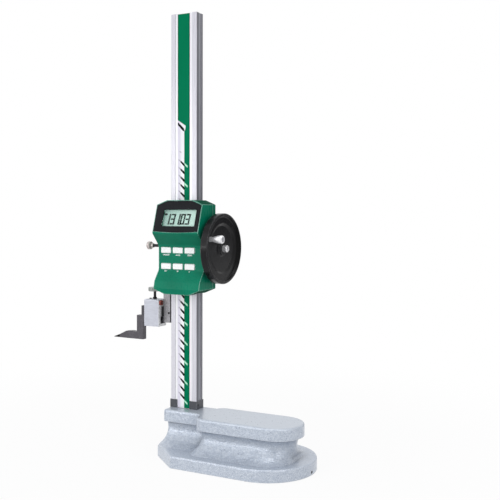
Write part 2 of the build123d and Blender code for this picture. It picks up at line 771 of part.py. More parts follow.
# thumb screw over the clamp
head_z = box_high + 10.2
thumb = rod_z(1.75, bar_high + slip + 0.1, head_z + 1, clamp_x, scriber_y)
thumb += rod_z(2.7, box_high + 0.3, box_high + 2.2, clamp_x, scriber_y)
thumb += rod_z(8.6, head_z, head_z + 5.0, clamp_x, scriber_y)
thumb = chamfer(thumb.edges().filter_by(GeomType.CIRCLE).filter_by(lambda e: e.radius > 8), 0.6)
for k in range(24):
    a = math.radians(15 * k)
    thumb -= rod_z(0.6, head_z - 1, head_z + 6, clamp_x + 8.75 * math.cos(a), scriber_y + 8.75 * math.sin(a))
save(thumb, "clamp_screw")

# ---------------------------------------------------------------- scriber
shank_end = box_right - 2.5
blade = [
    (tip_x + tip_l, zero_z),
    (drop_right, zero_z),
    (drop_right, shank_low),
    (shank_end, shank_low),
    (shank_end, shank_top),
    (drop_left, shank_top),
    (drop_left, zero_z + 9.2),
    (drop_left - 8.6, zero_z + 10.2),
    (tip_x + tip_l + 11.0, zero_z + 9.4),
    (tip_x + tip_l, zero_z + 4.2),
]
scriber = slab_y(blade, scriber_y - scriber_t / 2, scriber_y + scriber_t / 2)
half_t = scriber_t / 2
taper_x = tip_x + 23.4
far_x = shank_end + 16.0
taper = [(tip_x, scriber_y - 1.6), (taper_x, scriber_y - half_t), (far_x, scriber_y - half_t)]
taper += [(far_x, scriber_y + half_t), (taper_x, scriber_y + half_t), (tip_x, scriber_y + 1.6)]
plan = Pos(0, 0, zero_z - 41) * extrude(make_face(Polyline(*taper, close=True)), 120)
scriber = scriber & plan
save(scriber, "scriber")
point = [(tip_x, zero_z), (tip_x + tip_l, zero_z), (tip_x + tip_l, zero_z + 4.2), (tip_x, zero_z + 0.5)]
save(slab_y(point, scriber_y - half_t - 0.5, scriber_y + half_t + 0.5) & plan, "carbide_tip")

# ---------------------------------------------------------------- lock screw
knob_l = 5.2
knob_r = 5.3
knob_x1 = -house_half - 21.0
knob_x0 = knob_x1 - knob_l
neck_r = 3.0
lock = turn_x(
    [(knob_x0, 0), (knob_x0, knob_r - 0.8), (knob_x0 + 0.8, knob_r), (knob_x1 - 0.8, knob_r)]
    + [(knob_x1, knob_r - 0.8), (knob_x1, neck_r), (knob_x1 + 3.4, neck_r), (knob_x1 + 4.2, 2.0)]
    + [(-in_x - gib_t - 0.2, 2.0), (-in_x - gib_t - 0.2, 0)],
    0,
    lock_z,
)
for k in range(20):
    a = math.radians(18 * k)
    dy = (knob_r + 0.1) * math.cos(a)
    dz = (knob_r + 0.1) * math.sin(a)
    lock -= rod_x(0.45, knob_x0 - 1, knob_x1 + 1, dy, lock_z + dz)
save(lock, "lock_screw")


# ---------------------------------------------------------------- drive
def involute_side(radius, base_r):
    a = math.acos(base_r / radius)
    return math.tan(a) - a


def make_pinion():
    base_r = pitch_r * math.cos(math.radians(20))
    root_r = pitch_r - rack_add - 0.25
    tip_r = pitch_r + module * 0.95
    half_pitch = (tooth_pitch / 2 - 0.12) / 2 / pitch_r + involute_side(pitch_r, base_r)
    points = []
    for k in range(teeth):
        mid = 2 * math.pi * k / teeth + math.pi
        flank = []
        for i in range(6):
            r = base_r + (tip_r - base_r) * i / 5
            flank.append((r, half_pitch - involute_side(r, base_r)))
        side = [(root_r, half_pitch)] + flank
        for r, a in side:
            points.append((r * math.cos(mid - a), r * math.sin(mid - a)))
        for r, a in reversed(side):
            points.append((r * math.cos(mid + a), r * math.sin(mid + a)))
    gear = slab_x(points, -3.8, 3.8)
    return Pos(0, drive_y, drive_z) * gear


groove_x = -cheek_out - 1.0
groove_w = 0.7
groove_r = shaft_r - 0.5
hub_in = wheel_back - 2.5
shaft = rod_x(shaft_r, groove_x - 0.6, web, drive_y, drive_z)
pinion = make_pinion()
shaft -= rod_x(1.6, hub_in + 1.6, web + 1, drive_y, drive_z)
bore = rod_x(groove_r, groove_x - 2, groove_x + 8, drive_y, drive_z)
ring = rod_x(shaft_r + 1.2, groove_x, groove_x + groove_w, drive_y, drive_z) - bore
shaft -= ring
save(shaft + pinion, "pinion_shaft")
clip = rod_x(shaft_r + 1.4, groove_x + 0.05, groove_x + groove_w - 0.05, drive_y, drive_z) - bore
clip -= block(groove_x - 2, groove_x + 8, drive_y, drive_y + 9, drive_z - 1.6, drive_z + 1.6)
save(clip, "shaft_clip")

wheel_bore = shaft_r + 0.02
wheel = turn_x(
    [
        (hub_in, wheel_bore),
        (hub_in, 8.5),
        (wheel_back + 2.5, 9.5),
        (wheel_back + 2.5, wheel_r - 6.3),
        (wheel_back, wheel_r - 4.8),
        (wheel_back, wheel_r - 1.0),
        (wheel_back + 1.0, wheel_r),
        (wheel_face - 1.0, wheel_r),
        (wheel_face, wheel_r - 1.0),
        (wheel_face, wheel_r - 3.1),
        (web + 0.4, wheel_r - 4.3),
        (web, wheel_r - 4.9),
        (web, wheel_r - 12.8),
        (web - 1.6, wheel_r - 15.8),
        (web - 1.6, 10.5),
        (web - 0.4, 8.5),
        (hub_seat, 8.0),
        (hub_seat, wheel_bore),
    ],
    drive_y,
    drive_z,
)
handle_y = drive_y + handle_dy
handle_z = drive_z + handle_dz
wheel -= rod_x(stud_r + 0.02, hub_in, wheel_face + 5, handle_y, handle_z)
wheel -= rod_x(2 * stud_r, hub_in, wheel_back + 3.7, handle_y, handle_z)
save(wheel, "hand_wheel")

hub_h = 5.9
hub = rod_x(4.4, hub_seat, hub_seat + hub_h, drive_y, drive_z)
hub += rod_x(1.6, hub_in + 2.0, hub_seat, drive_y, drive_z)
hub = chamfer(hub.edges().filter_by(GeomType.CIRCLE).sort_by(Axis.X)[-1], 0.6)
hub -= Pos(hub_seat + 3.6, drive_y, drive_z) * Rot(0, 90, 0) * extrude(RegularPolygon(2.3, 6), 5)
save(hub, "hub_screw")

# crank handle turns on a stud fixed in the wheel
grip_end = web + grip_l
stud = rod_x(stud_r, web - 3.6, grip_end - 2.4, handle_y, handle_z)
stud += rod_x(2 * stud_r - 0.1, web - 4.5, web - 3.4, handle_y, handle_z)
stud += rod_x(stud_r + 1.0, grip_end - 3.0, grip_end - 2.0, handle_y, handle_z)
save(stud, "handle_stud")
grip = turn_x(
    [
        (web + 0.3, stud_r + shaft_fit),
        (web + 0.3, 3.3),
        (web + 1.4, 3.3),
        (web + 3.6, 2.9),
        (grip_end - 11.6, 3.8),
        (grip_end - 7.4, 4.8),
        (grip_end - 3.8, 5.3),
        (grip_end - 1.6, 5.2),
        (grip_end - 0.4, 4.5),
        (grip_end, 3.4),
        (grip_end - 3.2, 3.3),
        (grip_end - 3.2, stud_r + shaft_fit),
    ],
    handle_y,
    handle_z,
)
save(grip, "crank_handle")
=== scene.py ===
import bmesh
import bpy
import math
from mathutils import Matrix, Vector
from mathutils.bvhtree import BVHTree


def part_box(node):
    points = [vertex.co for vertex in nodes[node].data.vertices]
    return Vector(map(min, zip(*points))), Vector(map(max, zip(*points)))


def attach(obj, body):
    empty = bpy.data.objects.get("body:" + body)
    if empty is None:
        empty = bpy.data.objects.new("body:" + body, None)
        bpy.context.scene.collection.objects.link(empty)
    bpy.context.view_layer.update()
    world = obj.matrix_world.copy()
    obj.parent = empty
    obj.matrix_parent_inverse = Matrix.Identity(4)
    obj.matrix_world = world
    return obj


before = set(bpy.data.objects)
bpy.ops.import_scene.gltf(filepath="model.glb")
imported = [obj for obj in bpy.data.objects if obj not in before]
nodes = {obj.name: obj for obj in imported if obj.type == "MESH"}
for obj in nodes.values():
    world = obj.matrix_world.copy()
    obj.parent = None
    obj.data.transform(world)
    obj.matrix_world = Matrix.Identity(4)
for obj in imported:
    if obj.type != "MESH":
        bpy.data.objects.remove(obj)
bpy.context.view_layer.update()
MM = 0.001
X, Y, Z = 0, 1, 2


def srgb(r, g, b):
    """Linear colour of the 8-bit sRGB values that a picture editor shows."""
    def one(c):
        c /= 255
        return c / 12.92 if c <= 0.04045 else ((c + 0.055) / 1.055) ** 2.4

    return (one(r), one(g), one(b), 1.0)


def scaled(colour, k):
    return (*(min(c * k, 1) for c in colour[:3]), 1.0)


WHITE = (1.0, 1.0, 1.0, 1.0)
GREEN = srgb(0, 120, 92)
PALE_HIGHLIGHT = srgb(186, 232, 218)        # green housing's edges, a painted highlight
CHARCOAL = srgb(34, 33, 35)

# where a finish, a painted highlight or painted shade changes on its piece, in metres
COLUMN_SIDE = sum(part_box("column")[k].y for k in (0, 1)) / 2      # middle of the column's side
LAND = 12.55 * MM                 # half width of the pale land beside the film
PLATE_TOP = (14.7 * MM, 18.0 * MM)
FLANGE_TOP = (54.5 * MM, 56.7 * MM)
WHEEL_NEAR = (10 * MM, 40 * MM)   # y over which the painted highlight on the wheel's rim fades
WHEEL_FAR = (36 * MM, 50 * MM)    # y over which the wheel's far side takes painted shade and turns dull
KNOB_SHANK = -51.0 * MM           # x
THUMB_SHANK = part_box("clamp_screw")[1].z - 5.2 * MM
JAW_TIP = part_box("clamp_box")[0].x + 3.0 * MM


# ---------------------------------------------------------------- node helpers
class Nodes:
    """A cleared node tree, with short names for the nodes that the materials share."""

    def __init__(self, tree):
        self.tree = tree
        self.tree.nodes.clear()

    def add(self, kind, **props):
        node = self.tree.nodes.new(kind)
        for key, value in props.items():
            setattr(node, key, value)
        return node

    def link(self, a, b):
        self.tree.links.new(a, b)

    def feed(self, socket, value):
        """Link an output to the socket, or write a constant on it."""
        if hasattr(value, "is_output"):
            self.link(value, socket)
        else:
            socket.default_value = value

    def remap(self, value, a, b, low=0.3, high=0.7, kind="LINEAR"):
        """a where the value is at most low, b where it is at least high."""
        node = self.add("ShaderNodeMapRange", interpolation_type=kind)
        self.link(value, node.inputs["Value"])
        for key, v in (("From Min", low), ("From Max", high), ("To Min", a), ("To Max", b)):
            node.inputs[key].default_value = v
        return node.outputs[0]

    def fade(self, value, a, b, low, high):
        """The same with a smooth start and end."""
        return self.remap(value, a, b, low, high, "SMOOTHSTEP")

    def math(self, op, a, b=0.0, **props):
        node = self.add("ShaderNodeMath", operation=op, **props)
        self.feed(node.inputs[0], a)
        self.feed(node.inputs[1], b)
        return node.outputs[0]

    def plus(self, a, b):
        return self.math("ADD", a, b)

    def times(self, a, b):
        return self.math("MULTIPLY", a, b)

    def either(self, a, b):
        """Two masks in one, at most 1."""
        return self.math("ADD", a, b, use_clamp=True)

    def dot(self, a, b):
        node = self.add("ShaderNodeVectorMath", operation="DOT_PRODUCT")
        self.feed(node.inputs[0], a)
        self.feed(node.inputs[1], b)
        return node.outputs["Value"]

    def parts(self, vector):
        """The three components of a vector."""
        node = self.add("ShaderNodeSeparateXYZ")
        self.link(vector, node.inputs[0])
        return node.outputs

    def mix(self, fac, a, b, mode="MIX"):
        node = self.add("ShaderNodeMix", data_type="RGBA", blend_type=mode)
        for socket, v in ((node.inputs["Factor"], fac), (node.inputs[6], a), (node.inputs[7], b)):
            self.feed(socket, v)
        return node.outputs[2]

    def ramp(self, fac, stops):
        node = self.add("ShaderNodeValToRGB")
        self.link(fac, node.inputs[0])
        band = node.color_ramp
        while len(band.elements) < len(stops):
            band.elements.new(0.5)
        for item, (at, colour) in zip(band.elements, stops):
            item.position = at
            item.color = colour
        return node.outputs[0]


class Shader(Nodes):
    """A node material around one Principled shader, with coordinates in metres."""

    def __init__(self, name, **sockets):
        self.mat = bpy.data.materials.new(name)
        self.mat.use_nodes = True
        super().__init__(self.mat.node_tree)
        out = self.add("ShaderNodeOutputMaterial")
        self.bsdf = self.add("ShaderNodeBsdfPrincipled")
        self.link(self.bsdf.outputs[0], out.inputs[0])
        self.coord = self.add("ShaderNodeTexCoord").outputs["Object"]
        self.normal = None
        for key, value in sockets.items():
            self.bsdf.inputs[key.replace("_", " ")].default_value = value

    # patterns
    def place(self, stretch):
        node = self.add("ShaderNodeMapping")
        self.link(self.coord, node.inputs["Vector"])
        node.inputs["Scale"].default_value = stretch
        return node.outputs[0]

    def noise(self, scale, detail=2.0, stretch=None, rough=0.5):
        node = self.add("ShaderNodeTexNoise")
        self.link(self.place(stretch) if stretch else self.coord, node.inputs["Vector"])
        for key, v in (("Scale", scale), ("Detail", detail), ("Roughness", rough)):
            node.inputs[key].default_value = v
        return node.outputs["Fac"]

    def pebbles(self, scale, smooth):
        node = self.add("ShaderNodeTexVoronoi", feature="SMOOTH_F1")
        self.link(self.coord, node.inputs["Vector"])
        node.inputs["Scale"].default_value = scale
        node.inputs["Smoothness"].default_value = smooth
        return node.outputs["Distance"]

    # masks
    def xyz(self):
        return self.parts(self.coord)

    def geometry(self, name):
        return self.add("ShaderNodeNewGeometry").outputs[name]

    def facing(self, axis, low, high):
        """0 where the surface turns less than low toward the axis, 1 above high."""
        return self.remap(self.parts(self.geometry("True Normal"))[axis], 0.0, 1.0, low, high)

    def edge_highlight(self, radius):
        """Painted highlight mask: 0 on the faces, 1 along sharp edges."""
        node = self.add("ShaderNodeBevel", samples=6)
        node.inputs["Radius"].default_value = radius
        alike = self.dot(node.outputs[0], self.geometry("True Normal"))
        return self.remap(self.math("SUBTRACT", 1.0, alike), 0.0, 1.0, low=0.03, high=0.14)

    def crevice_shade(self, reach, open_at, full_at):
        """Painted shade mask: 1 in grooves and under lips within the given reach, 0 in the open."""
        node = self.add("ShaderNodeAmbientOcclusion", samples=6, only_local=True)
        node.inputs["Distance"].default_value = reach
        return self.remap(node.outputs["AO"], 1.0, 0.0, full_at, open_at)

    # colours
    def blend(self, fac, a, b, low=0.3, high=0.7):
        """Colour a where the pattern is low, colour b where it is high."""
        return self.ramp(fac, [(low, a), (high, b)])

    def drift(self, fac, colour, dark, light, low=0.3, high=0.7):
        """The colour times dark where the pattern is low, times light where it is high."""
        return self.blend(fac, scaled(colour, dark), scaled(colour, light), low, high)

    def cover(self, tone, mask, share, colour):
        """Another colour over the tone, by a share of the mask."""
        return self.mix(self.times(mask, share), tone, colour)

    # surface
    def rounded(self, radius):
        node = self.add("ShaderNodeBevel", samples=4)
        node.inputs["Radius"].default_value = radius
        self.normal = node.outputs[0]

    def bump(self, height, strength, distance):
        node = self.add("ShaderNodeBump")
        self.feed(node.inputs["Strength"], strength)
        node.inputs["Distance"].default_value = distance
        self.link(height, node.inputs["Height"])
        if self.normal is not None:
            self.link(self.normal, node.inputs["Normal"])
        self.normal = node.outputs[0]

    def done(self, tone, rough):
        """Connect the colour, the roughness and the normal, and give the material."""
        self.feed(self.bsdf.inputs["Base Color"], tone)
        self.feed(self.bsdf.inputs["Roughness"], rough)
        if self.normal is not None:
            self.link(self.normal, self.bsdf.inputs["Normal"])
        return self.mat


# ---------------------------------------------------------------- materials
def plastic(name, colour, rough=0.38, grain=2600, round_r=0.4 * MM, vary=0.1, strength=0.25,
            edge=None, edge_r=0.7 * MM, up_down_shade=None, **extra):
    """Moulded plastic: fine pebble grain, a slow drift of tone, faint rub marks and painted
    highlights along the edges.

    Faces that look up or down take a painted shade colour, and turn dull.
    """
    s = Shader(name, **extra)
    slow = s.noise(55, detail=3.0)
    tone = s.drift(slow, colour, 1 - vary, 1 + vary)
    rub = s.noise(900, stretch=(1.0, 1.0, 0.12))
    dull = s.remap(rub, rough - 0.06, rough + 0.08)
    if up_down_shade:
        # painted shade on faces that look up or down
        tilt = s.plus(s.facing(Z, 0.7, 0.9), s.facing(Z, -0.62, -0.8))
        tone = s.mix(tilt, tone, up_down_shade)
        dull = s.plus(dull, s.times(tilt, 0.6))
    if edge:
        # painted highlight along edges that don't face down
        lit_edges = s.times(s.edge_highlight(edge_r), s.facing(Z, -0.6, -0.2))
        tone = s.mix(s.times(lit_edges, s.remap(slow, 0.5, 1.0)), tone, edge)
    s.rounded(round_r)
    s.bump(s.noise(grain), strength, distance=0.02 * MM)
    return s.done(tone, dull)


def metal(name, colour, rough=0.3, stretch=(1, 1, 1), scale=900, vary=0.12, strength=0.15,
          metallic=1.0, painted_side=None):
    """Machined metal: lines of the tool or belt, small stains and a broken gloss; faces toward X
    can take a colour of their own, painted light.
    """
    s = Shader(name, Metallic=metallic)
    lines = s.noise(scale, detail=3.0, stretch=stretch)
    stain = s.noise(70, detail=3.0)
    tone = s.drift(lines, colour, 1 - vary, 1 + vary)
    tone = s.mix(s.remap(stain, 0.0, 0.35), tone, scaled(colour, 1 - 1.4 * vary))
    if painted_side:
        # painted light: faces toward X take the colour given for their side
        side_lit = s.drift(s.noise(420, detail=3.0, rough=0.7), painted_side, 0.72, 1.3, low=0.35, high=0.65)
        tone = s.mix(s.facing(X, 0.6, 0.9), tone, side_lit)
    s.rounded(0.3 * MM)
    s.bump(lines, strength, distance=0.03 * MM)
    return s.done(tone, s.remap(lines, rough - 0.07, rough + 0.1))


def hammertone():
    """Silver hammer finish: metallic flakes in pebbled enamel under a clear gloss, with painted
    highlights along its edges and painted shade in its hollows and under the plate.
    """
    s = Shader("hammertone_iron", Metallic=0.3, Coat_Weight=0.35, Coat_Roughness=0.09)
    z = s.xyz()[Z]
    fine = s.pebbles(520, smooth=0.6)
    coarse = s.noise(300, detail=3.0, rough=0.6)
    flakes = s.noise(950, rough=0.65)
    light, mid, dark = srgb(230, 234, 241), srgb(183, 192, 205), srgb(136, 146, 166)
    tone = s.ramp(flakes, [(0.34, dark), (0.46, mid), (0.55, mid), (0.64, light)])
    cloud = s.blend(coarse, srgb(173, 183, 198), srgb(202, 210, 220), low=0.35, high=0.65)
    top = s.remap(z, 0.0, 1.0, *FLANGE_TOP)
    smooth = s.plus(s.remap(z, 0.35, 0.6, *PLATE_TOP), s.times(top, 0.3))
    tone = s.mix(smooth, tone, cloud)
    tone = s.cover(tone, top, 0.85, srgb(182, 190, 201))
    # painted highlight: near-white lines along the edges
    tone = s.cover(tone, s.edge_highlight(1.6 * MM), 0.75, srgb(246, 249, 252))
    # painted shade: a broad dark blue-grey in the hollows
    tone = s.cover(tone, s.crevice_shade(45 * MM, open_at=0.9, full_at=0.3), 0.4, srgb(104, 118, 140))
    # painted shade: a dark line under the plate's lip and at the cove's foot
    tone = s.cover(tone, s.crevice_shade(12 * MM, open_at=0.88, full_at=0.6), 0.9, srgb(52, 64, 82))
    s.rounded(1.6 * MM)
    swell = s.noise(95)
    height = s.plus(s.plus(s.times(fine, 0.6), coarse), s.times(swell, 2.2))
    s.bump(height, s.remap(top, 0.7, 0.3, 0.0, 1.0), distance=0.6 * MM)
    return s.done(tone, s.remap(coarse, 0.26, 0.44))


def column_steel():
    """Ground steel: fine lines up the column, a paler land each side of the film, sides darkened as
    painted shade with a paler stripe down their middle, and the front darker toward the top as
    painted shade.
    """
    s = Shader("ground_column_steel", Metallic=0.2, Specular_IOR_Level=0.3)
    x, y, z = s.xyz()
    lines = s.noise(2600, detail=3.0, stretch=(1, 1, 0.01))
    stain = s.noise(26, detail=3.0, stretch=(1, 1, 0.25))
    edge = s.blend(lines, srgb(211, 210, 218), srgb(226, 225, 232))
    land = s.blend(lines, srgb(242, 243, 247), srgb(252, 252, 254))
    # painted shade: the sides toward X take a darker copy of the steel
    side = s.blend(lines, srgb(98, 99, 106), srgb(128, 129, 137))
    # a paler stripe down the middle of each side
    off_line = s.math("ABSOLUTE", s.math("SUBTRACT", y, COLUMN_SIDE))
    mid_stripe = s.remap(off_line, 0.6, 0.0, 1.2 * MM, 3.2 * MM)
    side = s.mix(mid_stripe, side, srgb(178, 180, 188))
    front = s.mix(s.math("LESS_THAN", s.math("ABSOLUTE", x), LAND), edge, land)
    # painted shade: the front darker toward the top
    front = s.mix(s.remap(z, 0.0, 0.42, 0.25, 0.5), front, srgb(196, 196, 202), "MULTIPLY")
    turned = s.math("ABSOLUTE", s.parts(s.geometry("Normal"))[X])
    tone = s.mix(s.math("GREATER_THAN", turned, 0.75), front, side)
    tone = s.mix(s.remap(stain, 0.0, 0.14), tone, srgb(170, 170, 180), "MULTIPLY")
    s.rounded(0.3 * MM)
    s.bump(lines, 0.12, distance=0.02 * MM)
    return s.done(tone, s.remap(lines, 0.24, 0.38))


def film_white():
    """White printed film, with a faint violet cast toward its left margin, and painted shade that
    darkens it toward the top.
    """
    s = Shader("printed_film_white", Specular_IOR_Level=0.3)
    x, _, z = s.xyz()
    fibre = s.noise(1500)
    across = s.remap(x, 0.0, 1.0, -6.0 * MM, -3.2 * MM)
    tone = s.mix(across, srgb(226, 223, 236), srgb(250, 252, 252))
    # painted shade: the film darker toward the top
    tone = s.mix(s.remap(z, 0.0, 0.3, 0.28, 0.42), tone, srgb(205, 204, 212), "MULTIPLY")
    tone = s.mix(s.remap(fibre, 0.0, 0.3), tone, srgb(214, 211, 228))
    s.bump(fibre, 0.1, distance=0.02 * MM)
    return s.done(tone, s.remap(s.noise(400), 0.28, 0.4))


def ink(name, colour, rough=0.34):
    """Screen-printed ink: dense dots and a slow drift of tone."""
    s = Shader(name, Specular_IOR_Level=0.02)
    dots = s.noise(2400)
    slow = s.noise(40, stretch=(1, 1, 0.4))
    tone = s.drift(dots, colour, 0.86, 1.14, low=0.25, high=0.75)
    tone = s.mix(s.remap(slow, 0.0, 0.3), tone, scaled(colour, 0.75))
    s.bump(dots, 0.12, distance=0.02 * MM)
    return s.done(tone, s.remap(dots, rough - 0.05, rough + 0.07))


def lcd():
    """Grey-green display glass with fine cells, and painted shade that darkens it toward its left
    end.
    """
    s = Shader("lcd_glass", Specular_IOR_Level=0.2)
    cell = s.noise(5200, detail=1.0)
    slow = s.noise(60)
    # painted shade: darker toward the left end
    across = s.remap(s.xyz()[X], 0.0, 1.0, -21 * MM, 19 * MM)
    tone = s.ramp(across, [(0.0, srgb(144, 176, 168)), (0.35, srgb(172, 205, 195)),
                           (1.0, srgb(200, 230, 220))])
    tone = s.mix(s.remap(slow, 0.0, 0.3), tone, srgb(192, 222, 211))
    tone = s.mix(s.remap(cell, 0.0, 0.16), tone, srgb(150, 186, 172))
    s.bump(cell, 0.08, distance=0.01 * MM)
    return s.done(tone, s.remap(cell, 0.3, 0.42))


def window():
    """Clear display window with faint smears."""
    s = Shader("clear_window", Transmission_Weight=1.0, IOR=1.46, Alpha=0.12)
    smear = s.noise(240, detail=3.0, stretch=(1, 1, 0.3))
    tone = s.blend(smear, srgb(236, 244, 240), srgb(250, 253, 252))
    return s.done(tone, s.remap(smear, 0.02, 0.09))


def wheel_black():
    """Black moulded wheel, with painted highlights along its near rims, and painted shade and a
    duller gloss on its far side.
    """
    s = Shader("black_wheel", Specular_IOR_Level=0.17)
    y = s.xyz()[Y]
    pebble = s.noise(1500)
    tone = s.drift(s.noise(60, detail=3.0), srgb(21, 21, 23), 0.75, 1.25)
    # painted shade: the far side darker
    tone = s.mix(s.remap(y, 0.0, 1.0, *WHEEL_FAR), tone, srgb(6, 6, 7))
    # painted highlight: paler rims on the near side
    rub = s.times(s.edge_highlight(0.9 * MM), s.remap(s.noise(90, detail=3.0), 0.25, 0.9))
    rub = s.times(rub, s.remap(y, 1.0, 0.15, *WHEEL_NEAR))
    tone = s.mix(rub, tone, srgb(128, 128, 132))
    dull = s.plus(s.remap(pebble, 0.16, 0.28), s.remap(y, 0.0, 0.45, *WHEEL_FAR))
    s.rounded(1.2 * MM)
    s.bump(pebble, 0.22, distance=0.06 * MM)
    return s.done(tone, dull)


def grained_steel(name, colour, rough=0.42, vary=0.4, scale=900, metallic=0.85,
                  fleck=None, painted_side=None, tip=None):
    """Dark steel with a coarse broken grain, another colour at its tip, and painted shade on its
    flank toward X.
    """
    s = Shader(name, Metallic=metallic)
    grain = s.noise(scale, detail=3.0, rough=0.7)
    slow = s.noise(120, detail=3.0)
    tone = s.drift(grain, colour, 1 - vary, 1 + vary, low=0.32, high=0.68)
    tone = s.mix(s.remap(slow, 0.0, 0.5), tone, scaled(colour, 0.7))
    if fleck:
        tone = s.mix(s.remap(s.noise(620), 0.0, 0.9, 0.56, 0.68), tone, fleck)
    # painted shade: faces toward X take the dark colour given for their side
    if painted_side:
        tone = s.mix(s.facing(X, 0.6, 0.9), tone, painted_side)
    if tip:
        start, shade = tip
        tone = s.mix(s.remap(s.xyz()[X], 1.0, 0.0, start - 1 * MM, start), tone, shade)
    s.rounded(0.4 * MM)
    s.bump(grain, 0.3, distance=0.08 * MM)
    return s.done(tone, s.remap(grain, rough - 0.1, rough + 0.12))


def two_tone(name, near, far, split, axis, rough=0.36):
    """Turned screw in two colours that meet at one place along its axis."""
    s = Shader(name, Metallic=0.8)
    turned = [1, 1, 1]
    turned[axis] = 0.2
    lines = s.noise(1300, detail=3.0, stretch=turned)
    side = s.remap(s.xyz()[axis], 0.0, 1.0, split - 0.1 * MM, split + 0.1 * MM)
    tone = s.mix(side, s.drift(lines, near, 0.88, 1.1), s.drift(lines, far, 0.75, 1.3))
    s.rounded(0.3 * MM)
    s.bump(lines, 0.2, distance=0.03 * MM)
    return s.done(tone, s.remap(lines, rough - 0.06, rough + 0.1))


mats = {
    "iron": hammertone(),
    "column": column_steel(),
    "film": film_white(),
    "ink_green": ink("printed_green", srgb(0, 118, 80)),
    "ink_edge": ink("printed_dark_green", srgb(0, 84, 56)),
    "ink_black": ink("printed_black", srgb(16, 18, 18)),
    "ink_grey": ink("printed_grey", srgb(150, 148, 158)),
    "ink_mint": ink("printed_mint", srgb(176, 240, 208)),
    "ink_white": ink("printed_white", srgb(244, 250, 250)),
    # the green housing and cover take painted highlights on their edges and painted shade on faces
    # that look up or down
    "green": plastic("green_housing", GREEN, rough=0.3, vary=0.09, round_r=1 * MM, edge=PALE_HIGHLIGHT,
                     edge_r=1.5 * MM, up_down_shade=srgb(0, 72, 52), Specular_IOR_Level=0.12),
    "green_back": plastic("green_cover", scaled(GREEN, 0.92), rough=0.36, round_r=1 * MM,
                          edge=PALE_HIGHLIGHT, up_down_shade=srgb(0, 68, 50), Specular_IOR_Level=0.12),
    "bezel": plastic("black_bezel", srgb(30, 31, 34), rough=0.24, grain=3400, strength=0.08,
                     vary=0.15, Specular_IOR_Level=0.06),
    "lcd": lcd(),
    "window": window(),
    "segment": ink("lcd_segment", srgb(14, 24, 22)),
    "key": plastic("white_key", srgb(252, 254, 254), rough=0.42, vary=0.02, round_r=0.5 * MM),
    "black": plastic("black_moulding", CHARCOAL, rough=0.45, vary=0.2),
    # the collar takes painted highlights on its edges
    "collar": plastic("collar_moulding", srgb(66, 68, 74), rough=0.34, vary=0.2,
                      edge=srgb(150, 152, 160), edge_r=0.8 * MM, Specular_IOR_Level=0.5),
    "black_steel": metal("black_steel", srgb(58, 57, 60), rough=0.42, scale=1200, vary=0.25),
    "wheel": wheel_black(),
    "chrome": metal("polished_steel", srgb(236, 236, 238), rough=0.2, scale=600, vary=0.05,
                    strength=0.05, metallic=0.6),
    "knob": two_tone("lock_knob", srgb(186, 178, 176), srgb(40, 38, 40), KNOB_SHANK, X),
    "thumb": two_tone("clamp_thumb", srgb(34, 32, 34), srgb(150, 154, 152), THUMB_SHANK, Z),
    # the box's sides toward X take painted light, a lighter colour
    "box": metal("clamp_satin_chrome", srgb(193, 196, 206), rough=0.36, scale=1300,
                 stretch=(0.08, 1, 1), vary=0.1, metallic=0.3, painted_side=srgb(236, 239, 241)),
    # the jaw's flank toward X takes painted shade
    "jaw": grained_steel("jaw_steel", srgb(166, 165, 169), vary=0.3, metallic=0.3,
                         fleck=srgb(205, 204, 210), painted_side=srgb(40, 39, 42),
                         tip=(JAW_TIP, srgb(72, 71, 76))),
    "scriber": grained_steel("scriber_steel", srgb(91, 89, 94), rough=0.36, vary=0.25, scale=1500),
    "carbide": grained_steel("carbide", CHARCOAL, rough=0.3, vary=0.3, scale=2200),
    "dark_steel": metal("dark_steel", srgb(104, 104, 108), rough=0.38, scale=1300, vary=0.2),
    "bright": metal("bright_steel", srgb(188, 188, 192), rough=0.26, scale=1100),
    "ground": metal("ground_steel", srgb(168, 168, 172), scale=1700, stretch=(1, 1, 0.05),
                    vary=0.1),
    "brass": metal("brass", srgb(196, 160, 92)),
    "bronze": metal("bronze", srgb(150, 98, 70), rough=0.36, vary=0.2),
    "copper": metal("copper_screw", srgb(148, 84, 76), rough=0.4, scale=1500, vary=0.25),
    "circuit": plastic("circuit_green", srgb(24, 92, 52), rough=0.3, grain=900, vary=0.2),
}

ROWS = ("top", "bottom")
SIDES = ("left", "middle", "right")
finish = {
    "iron": ["base_casting"],
    "column": ["column"],
    "film": ["scale_film"],
    "brass": ["scale_board", "gib_strip"],
    "bronze": ["shaft_bushes"],
    "copper": ["clamp_side_screw"],
    "collar": ["foot_collar"],
    "black": ["flange_plug", "cell_holder", "key_domes"],
    "black_steel": ["column_bolts", "collar_screws", "rack_screws", "gib_screws",
                    "rear_cover_screws", "carriage_screws", "clamp_set_screw", "jaw_pin",
                    "main_board_screws"],
    "bright": ["column_bolt_washers", "travel_stop_screw", "coin_cell", "shaft_clip",
               "handle_stud", "jaw_screws"],
    "ground": ["column_rack", "pinion_shaft"],
    "dark_steel": ["slider_frame", "scale_read_head"],
    "green": ["front_housing"],
    "green_back": ["rear_cover"],
    "bezel": ["display_bezel"],
    "window": ["display_window"],
    "lcd": ["lcd_panel"],
    "circuit": ["main_board"],
    "wheel": ["hand_wheel"],
    "chrome": ["hub_screw", "crank_handle"],
    "knob": ["lock_screw"],
    "thumb": ["clamp_screw"],
    "box": ["clamp_box"],
    "jaw": ["jaw"],
    "scriber": ["scriber"],
    "carbide": ["carbide_tip"],
    "key": [f"button_{row}_{side}" for row in ROWS for side in SIDES],
}
for key, names in finish.items():
    for name in names:
        data = nodes[name].data
        data.materials.clear()
        data.materials.append(mats[key])


